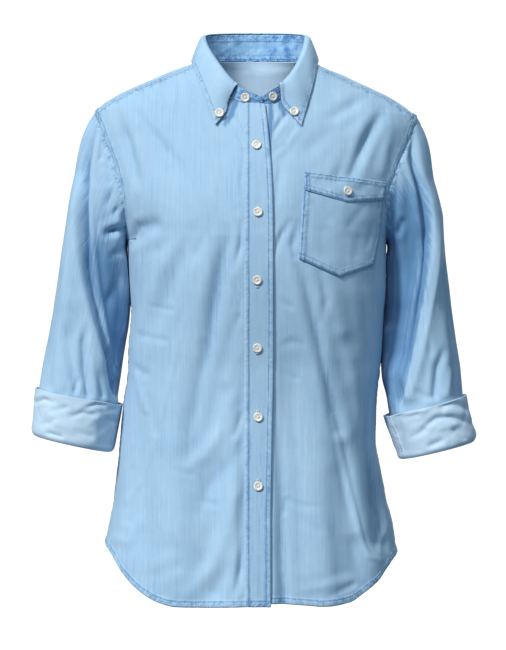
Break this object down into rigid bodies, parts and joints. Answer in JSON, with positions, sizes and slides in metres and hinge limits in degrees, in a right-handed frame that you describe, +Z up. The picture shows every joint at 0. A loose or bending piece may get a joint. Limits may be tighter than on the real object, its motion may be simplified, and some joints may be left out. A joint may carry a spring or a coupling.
{
  "type": "denim shirt",
  "caption": "Worn-shape light denim button-front shirt, button-down collar, shoulder yoke, flapped chest pocket, curved hem and turned-up sleeves",
  "frame": {"origin": "between the two sides of the neck, at the level of the neck seam, where the wearer's shoulders carry the shirt", "axes": "+X to the wearer's left, -Y out of the chest, +Z up"},
  "size_m": [0.5659, 0.2526, 0.7284],
  "materials": {
    "denim": "light washed denim, vertical slubs, matt",
    "denim_wrong_side": "paler wrong side of the same denim, matt",
    "button": "pearly, polished"
  },
  "bodies": {
    "root": {"front_right": "denim", "front_left": "denim", "back": "denim", "yoke": "denim", "placket": "denim", "sleeve_right": "denim", "sleeve_left": "denim", "turnup_right": "denim_wrong_side", "turnup_left": "denim_wrong_side", "collar_stand": "denim", "collar_fall": "denim", "pocket": "denim", "pocket_flap": "denim", "button_placket_1": "button", "button_placket_2": "button", "button_placket_3": "button", "button_placket_4": "button", "button_placket_5": "button", "button_placket_6": "button", "button_stand_right": "button", "button_stand_left": "button", "button_collar_right": "button", "button_collar_left": "button", "button_flap": "button"}
  },
  "joints": []
}
